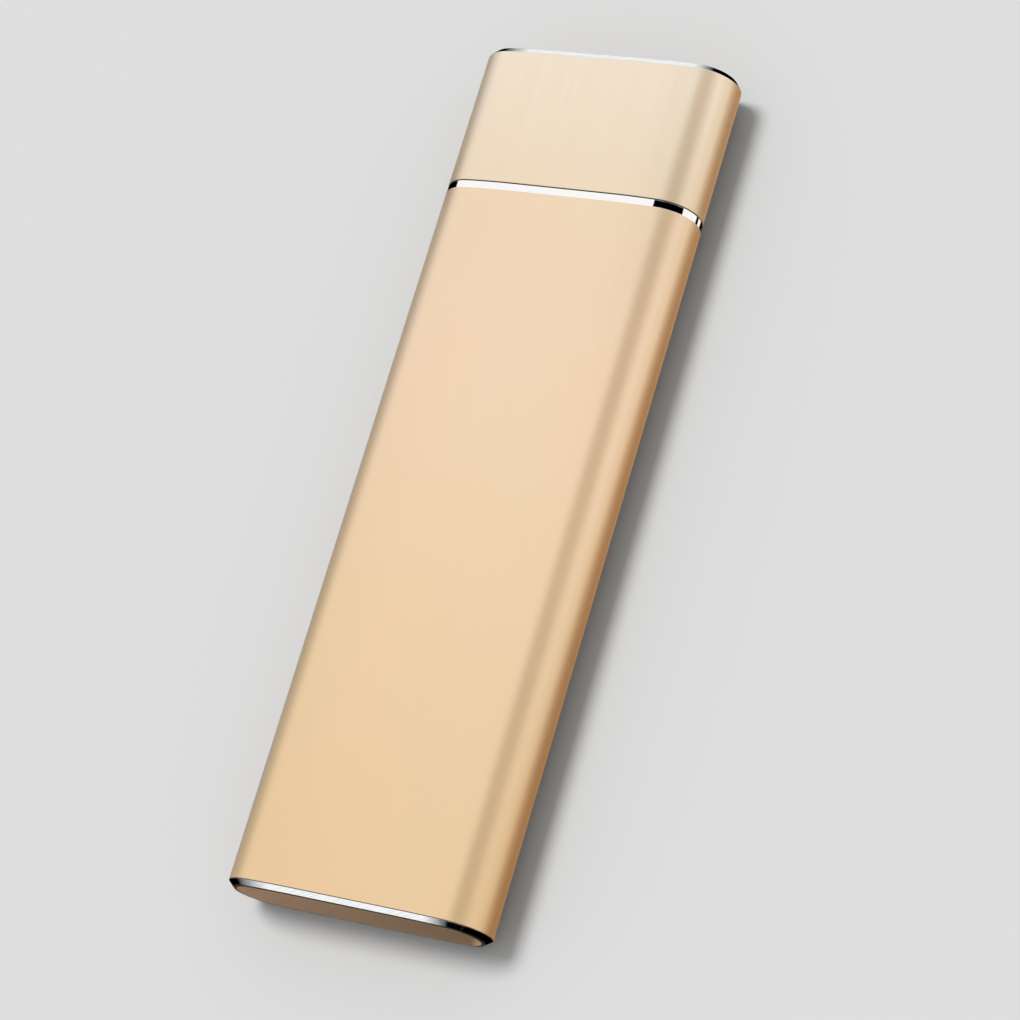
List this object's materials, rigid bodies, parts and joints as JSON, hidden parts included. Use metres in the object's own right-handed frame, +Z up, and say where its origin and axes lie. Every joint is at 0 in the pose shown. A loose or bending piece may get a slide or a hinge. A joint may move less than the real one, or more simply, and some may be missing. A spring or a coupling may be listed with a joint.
{
  "type": "portable solid state drive",
  "caption": "Slim gold aluminium stick drive of flattened oval section, with a bright trim ring, a port cap and a closed tail.",
  "frame": {"origin": "centre of the length and width, on the plane of the lower broad face", "axes": "+X across the width, +Y along the length towards the port end, +Z up through the thickness"},
  "size_m": [0.034, 0.11, 0.0098],
  "materials": {
    "gold_sleeve": "bead blasted and anodised gold, satin",
    "gold_cap": "bead blasted and anodised gold, a little paler, satin",
    "polished_trim": "polished bright",
    "end_plate_gold": "anodised gold, satin",
    "black_moulding": "black moulded plastic, fine grain",
    "main_board": "green solder mask",
    "module_board": "blue solder mask",
    "film": "amber insulating film",
    "screw_steel": "zinc plated steel",
    "shell_steel": "drawn stainless steel",
    "chip_resin": "black moulding resin",
    "gold_contact": "gold plated",
    "capacitor_body": "tan sintered body",
    "light_guide": "clear moulded plastic",
    "lamp_body": "cream lamp body",
    "brass_stud": "turned brass",
    "pad_rubber": "soft heat conducting rubber"
  },
  "bodies": {
    "root": {"sleeve": "gold_sleeve", "port_cap": "gold_cap", "trim_ring": "polished_trim", "end_plate": "end_plate_gold", "head_block": "black_moulding", "tail_plug": "black_moulding", "main_board": "main_board", "insulating_film": "film", "board_screws": "screw_steel", "usb_shell": "shell_steel", "usb_tongue": "black_moulding", "usb_contacts": "gold_contact", "activity_led": "lamp_body", "light_pipe": "light_guide", "bridge_chip": "chip_resin", "firmware_chip": "chip_resin", "crystal": "shell_steel", "power_inductor": "chip_resin", "board_capacitors": "capacitor_body", "board_resistors": "chip_resin", "module_socket": "black_moulding", "socket_contacts": "gold_contact", "module_stud": "brass_stud", "module_screw": "screw_steel", "module_board": "module_board", "module_fingers": "gold_contact", "storage_controller": "chip_resin", "cache_chip": "chip_resin", "memory_chip_1": "chip_resin", "memory_chip_2": "chip_resin", "module_power_chip": "chip_resin", "module_capacitors": "capacitor_body", "thermal_pad": "pad_rubber"}
  },
  "joints": []
}
